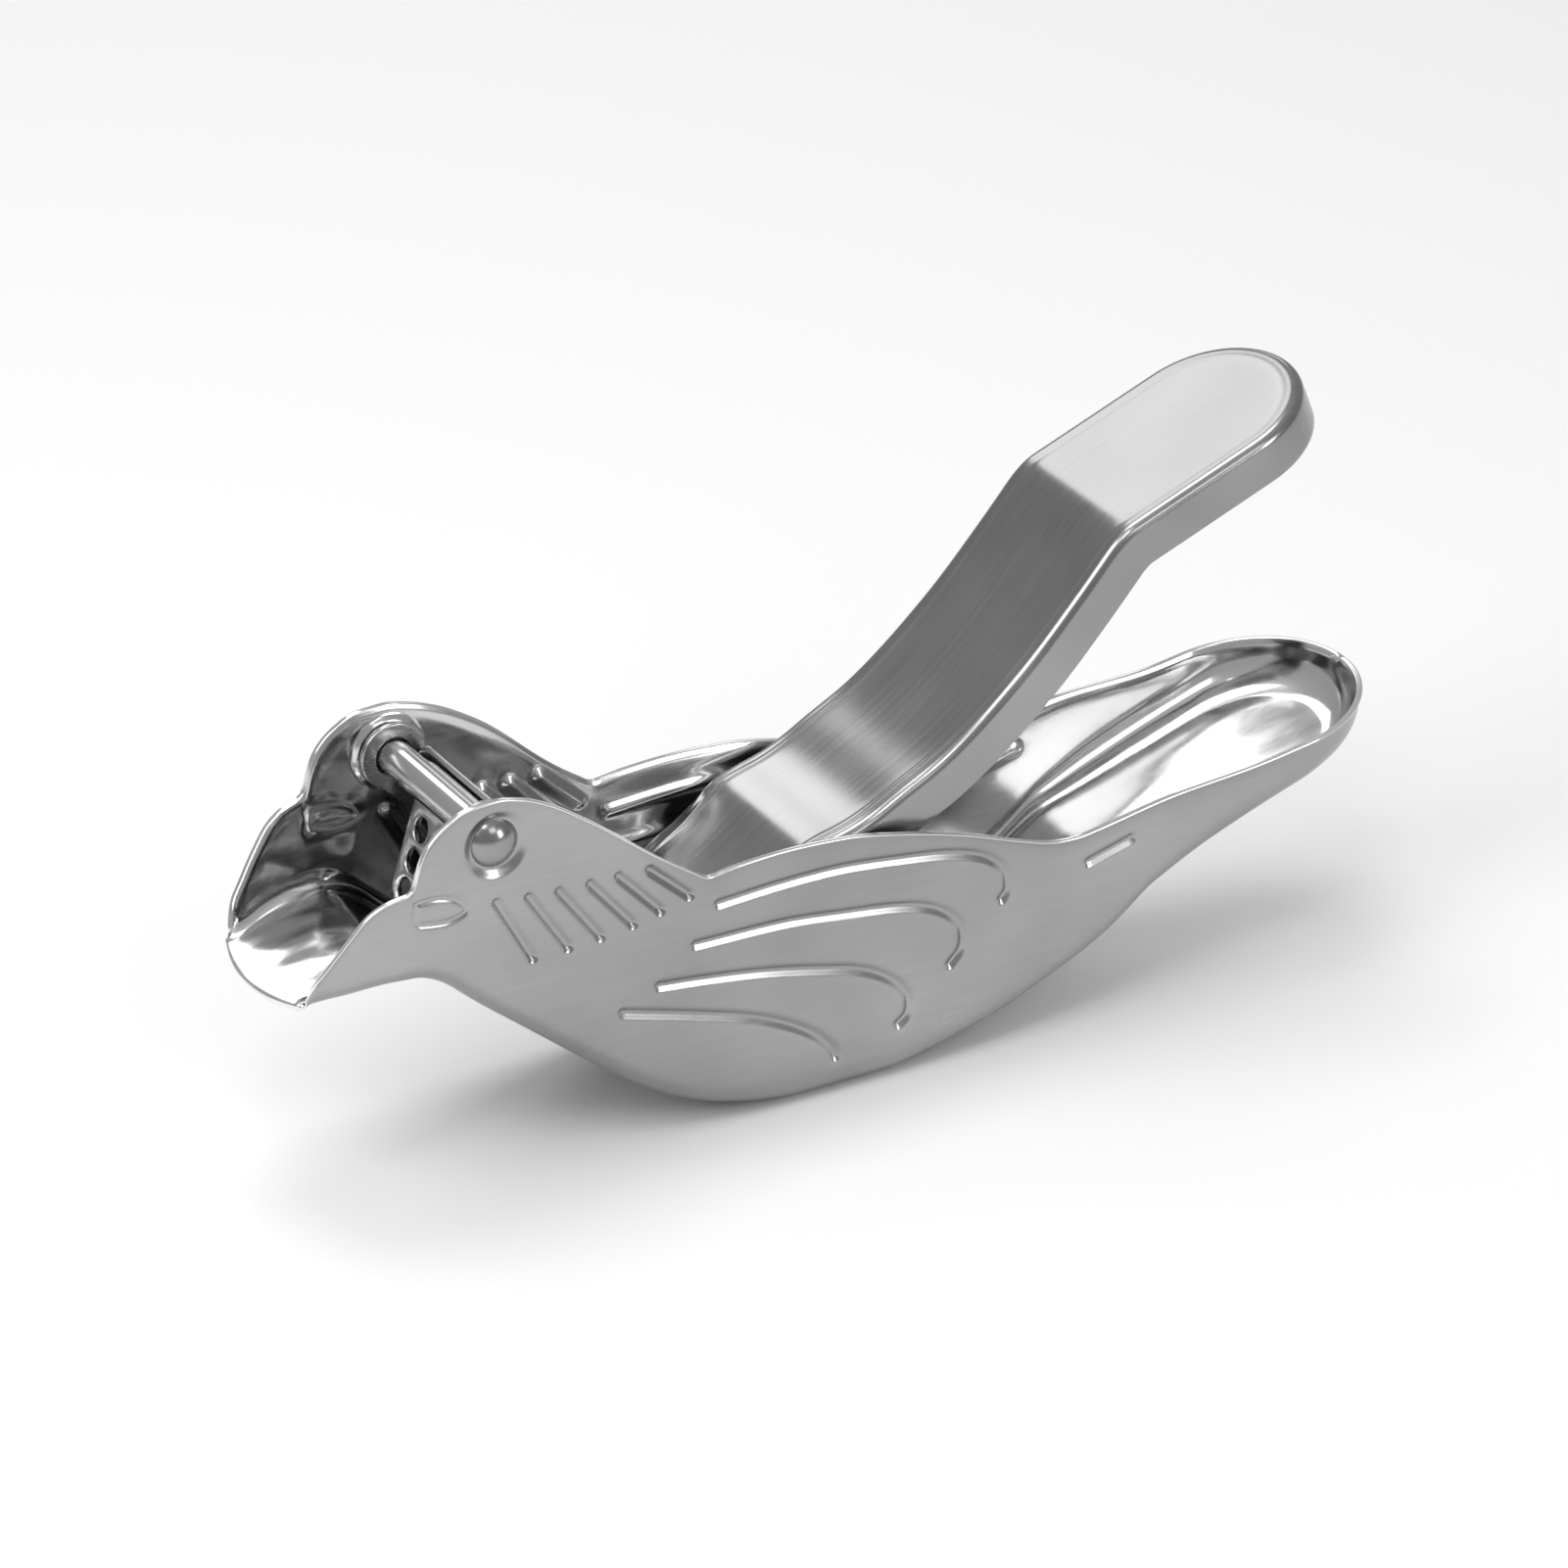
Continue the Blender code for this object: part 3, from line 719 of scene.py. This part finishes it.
# ---- Strainer, pin and rivets.

PIN_CHAMFER = 0.25
RIVET_RADIUS = 2.95
RIVET_TOP = 14.62
RIVET_GAP = 0.03


def make_strainer(material):
    half, low, high, corner = STRAINER_HALF_WIDTH, STRAINER_BOTTOM, STRAINER_TOP, STRAINER_CORNER
    outline = list(np.column_stack([np.linspace(-half, half, 14), np.full(14, high)]))
    side = np.linspace(high, low + corner, 14)[1:-1]
    outline += [(half, z) for z in side]
    for centre, start in ((half - corner, 0.0), (corner - half, -QUARTER)):
        for turn in np.linspace(start, start - QUARTER, 9):
            outline.append((centre + corner * math.cos(turn), low + corner + corner * math.sin(turn)))
    outline += [(-half, z) for z in side[::-1]]
    holes = [circle((y, z), STRAINER_HOLE_RADIUS, 32) for y in STRAINER_COLUMNS for z in STRAINER_ROWS]
    flat, triangles = region(np.array(outline), holes=holes, spacing=1.2)
    surface = Surface()
    surface.add(np.column_stack([np.zeros(len(flat)), flat]), triangles)
    before_strainer = (-20.0, 0.0, -3.0)
    points, faces, _ = sheet_of(surface, before_strainer, EDGE_RADIUS)
    cos, sin = math.cos(STRAINER_LEAN), math.sin(STRAINER_LEAN)
    x = points[:, 0] + PIN_RADIUS + STRAINER_CLEARANCE
    placed = np.column_stack([x * cos + points[:, 2] * sin, points[:, 1], -x * sin + points[:, 2] * cos])
    return piece("seed_strainer_plate", placed, faces, [material], "lever", "seed_strainer")


def turned(profile, steps, centre=(0.0, 0.0), side=1):
    """Points and faces of a solid turned round the Y direction.

    profile is (radius, y) pairs whose first and last radius is 0.
    """
    turns = np.arange(steps) * 2 * math.pi / steps
    points = [(centre[0], side * profile[0][1], centre[1])]
    for radius, y in profile[1:-1]:
        points += [(centre[0] + radius * math.cos(turn), side * y, centre[1] + radius * math.sin(turn))
                   for turn in turns]
    points.append((centre[0], side * profile[-1][1], centre[1]))
    rings = len(profile) - 2
    faces = []
    for i in range(steps):
        j = (i + 1) % steps
        faces.append([0, 1 + i, 1 + j])
        for k in range(rings - 1):
            a, b = 1 + k * steps, 1 + (k + 1) * steps
            faces.append([a + i, b + i, b + j, a + j])
        last = 1 + (rings - 1) * steps
        faces.append([last + i, rings * steps + 1, last + j])
    if side > 0:
        faces = [face[::-1] for face in faces]
    return points, faces


def make_pin(material):
    half = PIN_HALF_LENGTH
    profile = [(0.0, -half), (PIN_RADIUS - PIN_CHAMFER, -half), (PIN_RADIUS, -half + PIN_CHAMFER)]
    profile += [(PIN_RADIUS, y) for y in np.linspace(-half + 2, half - 2, 9)]
    profile += [(PIN_RADIUS, half - PIN_CHAMFER), (PIN_RADIUS - PIN_CHAMFER, half), (0.0, half)]
    points, faces = turned(profile, 64)
    return piece("pivot_pin_rod", points, faces, [material], "body", "pivot_pin")


def make_eye(name, side, node, material):
    """A domed rivet head that stands on the dish's floor."""
    base = BODY_HALF_WIDTH - EYE_DEPTH + RIVET_GAP
    height = RIVET_TOP - base
    ball = (RIVET_RADIUS ** 2 + height ** 2) / (2 * height)
    profile = [(0.0, RIVET_TOP)]
    for share in np.linspace(0, 1, 15)[1:]:
        out = RIVET_RADIUS * math.sin(QUARTER * share)
        profile.append((out, base + math.sqrt(ball ** 2 - out ** 2) - (ball - height)))
    profile += [(RIVET_RADIUS - 0.1, base), (0.0, base)]
    points, faces = turned(profile, 64, EYE, side)
    return piece(name, points, faces, [material], "body", node)


# ---- Materials.

CLOUD_SCALE = 90.0
PATCH_SCALE = 26.0
DARKEST, BRIGHTEST = 0.78, 1.22
GRAIN_HEIGHT = 0.00004


def steel(name, colour, roughness, grain, streaks, relief, spread=0.05):
    """Brushed stainless: a fine grain drawn out in streaks, and a slight unevenness in gloss and tone.

    grain is the noise's scale, and streaks multiplies that on each axis, so a small value draws it out.
    relief is its strength as bumps, and spread its strength as tone.
    """
    material = bpy.data.materials.new(name)
    material.use_nodes = True
    nodes, links = material.node_tree.nodes, material.node_tree.links
    shader = nodes["Principled BSDF"]
    shader.inputs["Metallic"].default_value = 1.0
    place = nodes.new("ShaderNodeTexCoord")

    def noise(scale, detail, stretch=(1.0, 1.0, 1.0)):
        mapping = nodes.new("ShaderNodeMapping")
        mapping.inputs["Scale"].default_value = stretch
        links.new(place.outputs["Object"], mapping.inputs["Vector"])
        texture = nodes.new("ShaderNodeTexNoise")
        texture.inputs["Scale"].default_value = scale
        texture.inputs["Detail"].default_value = detail
        links.new(mapping.outputs["Vector"], texture.inputs["Vector"])
        return texture.outputs["Fac"]

    def ranged(value, low, high):
        """A noise value, which mostly lies between 0.3 and 0.7, spread from low to high."""
        spread_out = nodes.new("ShaderNodeMapRange")
        spread_out.inputs["From Min"].default_value = 0.3
        spread_out.inputs["From Max"].default_value = 0.7
        spread_out.inputs["To Min"].default_value = low
        spread_out.inputs["To Max"].default_value = high
        links.new(value, spread_out.inputs["Value"])
        return spread_out.outputs["Result"]

    def maths(kind, a, b):
        node = nodes.new("ShaderNodeMath")
        node.operation = kind
        links.new(a, node.inputs[0])
        if isinstance(b, float):
            node.inputs[1].default_value = b
        else:
            links.new(b, node.inputs[1])
        return node.outputs["Value"]

    brushing = noise(grain, 2.0, streaks)
    clouds = noise(CLOUD_SCALE, 3.0)
    patches = noise(PATCH_SCALE, 2.0)
    fine = maths("ADD", ranged(brushing, -0.5 * spread, 0.5 * spread), ranged(clouds, -0.10, 0.10))
    tone = maths("ADD", fine, ranged(patches, -0.35, 0.35))
    mix = nodes.new("ShaderNodeMix")
    mix.data_type = "RGBA"
    mix.inputs["A"].default_value = (*[c * DARKEST for c in colour], 1.0)
    mix.inputs["B"].default_value = (*[min(c * BRIGHTEST, 1.0) for c in colour], 1.0)
    links.new(maths("ADD", tone, 0.5), mix.inputs["Factor"])
    links.new(mix.outputs["Result"], shader.inputs["Base Color"])
    gloss = maths("ADD", ranged(brushing, -0.02, 0.02), ranged(clouds, roughness - 0.03, roughness + 0.03))
    links.new(gloss, shader.inputs["Roughness"])
    raised = nodes.new("ShaderNodeBump")
    raised.inputs["Strength"].default_value = relief
    raised.inputs["Distance"].default_value = GRAIN_HEIGHT
    links.new(brushing, raised.inputs["Height"])
    links.new(raised.outputs["Normal"], shader.inputs["Normal"])
    return material


# ---- Stage: floor, light and camera.

CAMERA_AZIMUTH = math.radians(-30.0)
CAMERA_ELEVATION = math.radians(27.5)
CAMERA_DISTANCE = 0.8889
CAMERA_LENS = 179.9
LOOK_RIGHT, LOOK_UP = 0.03928, 0.00111

# Brightness of the studio round the object, as (height, value). Height is 0 at the horizon and below it,
# and 1 straight above.
WORLD_STOPS = ((0.0, 0.40), (0.3, 0.40), (0.7, 0.45), (1.0, 0.7))

# Lights, as (name, azimuth, elevation, size, brightness, distance), in degrees and metres. Azimuth 0 is
# behind the object and 90 to its right.
SOFTBOXES = (
    ("back_softbox", 5.3, 41.0, (0.27, 0.36), 2.2, 0.9),
    ("rim_softbox", 36.0, 27.0, (0.20, 0.20), 1.3, 0.9),
    ("top_softbox", -12.0, 76.0, (0.44, 0.34), 4.2, 0.9),
    ("front_softbox", 151.0, 22.0, (0.22, 0.32), 6.5, 0.9),
    ("high_front_softbox", 176.0, 42.0, (0.32, 0.24), 2.2, 0.9),
    ("top_left_softbox", -140.0, 60.0, (0.20, 0.20), 6.5, 0.9),
    ("key_left_softbox", -100.0, 44.0, (0.28, 0.28), 4.2, 0.55),
)


def make_stage():
    bpy.ops.mesh.primitive_plane_add(size=6.0, location=(0.0, 0.0, cad_box[0].z - 0.0003))
    floor = bpy.context.object
    floor.name = "pale_floor"
    paint = bpy.data.materials.new("pale_floor")
    paint.use_nodes = True
    shader = paint.node_tree.nodes["Principled BSDF"]
    shader.inputs["Base Color"].default_value = (0.88, 0.88, 0.88, 1.0)
    shader.inputs["Roughness"].default_value = 0.8
    floor.data.materials.append(paint)


def make_world():
    """A studio round the object: bright overhead, darker towards the horizon."""
    world = bpy.data.worlds.new("studio")
    bpy.context.scene.world = world
    world.use_nodes = True
    nodes, links = world.node_tree.nodes, world.node_tree.links
    place = nodes.new("ShaderNodeTexCoord")
    split = nodes.new("ShaderNodeSeparateXYZ")
    ramp = nodes.new("ShaderNodeValToRGB")
    links.new(place.outputs["Generated"], split.inputs["Vector"])
    links.new(split.outputs["Z"], ramp.inputs["Fac"])
    elements = ramp.color_ramp.elements
    while len(elements) < len(WORLD_STOPS):
        elements.new(0.5)
    for element, (at, value) in zip(elements, WORLD_STOPS):
        element.position = at
        element.color = (value, value, value, 1.0)
    links.new(ramp.outputs["Color"], nodes["Background"].inputs["Color"])
    nodes["Background"].inputs["Strength"].default_value = 1.0


def make_softbox(name, azimuth, elevation, size, brightness, distance):
    """A rectangular light aimed at the object."""
    light = bpy.data.lights.new(name, "AREA")
    light.shape = "RECTANGLE"
    light.size, light.size_y = size
    light.energy = brightness * math.pi * size[0] * size[1]
    lamp = bpy.data.objects.new(name, light)
    bpy.context.scene.collection.objects.link(lamp)
    a, e = math.radians(azimuth), math.radians(elevation)
    outward = Vector((math.sin(a) * math.cos(e), math.cos(a) * math.cos(e), math.sin(e)))
    lamp.location = distance * outward
    lamp.rotation_euler = outward.to_track_quat("Z", "Y").to_euler()


def make_camera():
    a, e = CAMERA_AZIMUTH, CAMERA_ELEVATION
    right = Vector((math.cos(a), math.sin(a), 0.0))
    back = Vector((math.sin(a) * math.cos(e), -math.cos(a) * math.cos(e), math.sin(e)))
    up = back.cross(right)
    data = bpy.data.cameras.new("camera")
    data.lens = CAMERA_LENS
    data.sensor_width = 36.0
    data.clip_start, data.clip_end = 0.05, 20.0
    camera = bpy.data.objects.new("camera", data)
    bpy.context.scene.collection.objects.link(camera)
    placed = Matrix((right, up, back)).transposed().to_4x4()
    placed.translation = PIN + CAMERA_DISTANCE * back + LOOK_RIGHT * right + LOOK_UP * up
    camera.matrix_world = placed
    bpy.context.scene.camera = camera


make_camera()
make_stage()
make_world()
for row in SOFTBOXES:
    make_softbox(*row)
bpy.context.scene.view_settings.view_transform = "Standard"

satin = steel("satin_steel", (0.36, 0.36, 0.363), roughness=0.24, grain=2000.0, streaks=(0.06, 1.0, 1.0),
              relief=0.004, spread=0.12)
# Inside faces and strainer: a glossier steel whose much paler colour is painted light, standing in for the
# brightness of the bowl's inside.
inside_steel_painted_light = steel("inside_steel_painted_light", (0.64, 0.64, 0.645), roughness=0.15, grain=1600.0,
                     streaks=(0.06, 1.0, 1.0), relief=0.004)
lever_satin = steel("lever_satin", (0.33, 0.33, 0.333), roughness=0.23, grain=1600.0,
                    streaks=(0.04, 1.0, 0.04), relief=0.008, spread=0.18)
lever_inside = steel("lever_inside", (0.45, 0.45, 0.455), roughness=0.26, grain=2000.0,
                     streaks=(0.05, 1.0, 1.0), relief=0.003)
# Rounded edges: polished cut edges, whose much paler colour also paints the white highlight line along the
# rims.
edge_steel_painted_highlight = steel("edge_steel_painted_highlight", (0.80, 0.80, 0.805), roughness=0.14, grain=2000.0, streaks=(0.3, 1.0, 1.0),
                   relief=0.01)
bright = steel("bright_steel", (0.58, 0.58, 0.585), roughness=0.17, grain=2000.0, streaks=(1.0, 0.1, 1.0),
               relief=0.02)
rivet_satin = steel("rivet_satin", (0.30, 0.30, 0.303), roughness=0.2, grain=2000.0, streaks=(1.0, 1.0, 1.0),
                    relief=0.01)
make_body([satin, edge_steel_painted_highlight, inside_steel_painted_light])
make_lever([lever_satin, lever_inside, lever_inside])
make_strainer(inside_steel_painted_light)
make_pin(bright)
make_eye("rivet_dome_left", NEAR, "eye_rivet_left", rivet_satin)
make_eye("rivet_dome_right", FAR, "eye_rivet_right", rivet_satin)
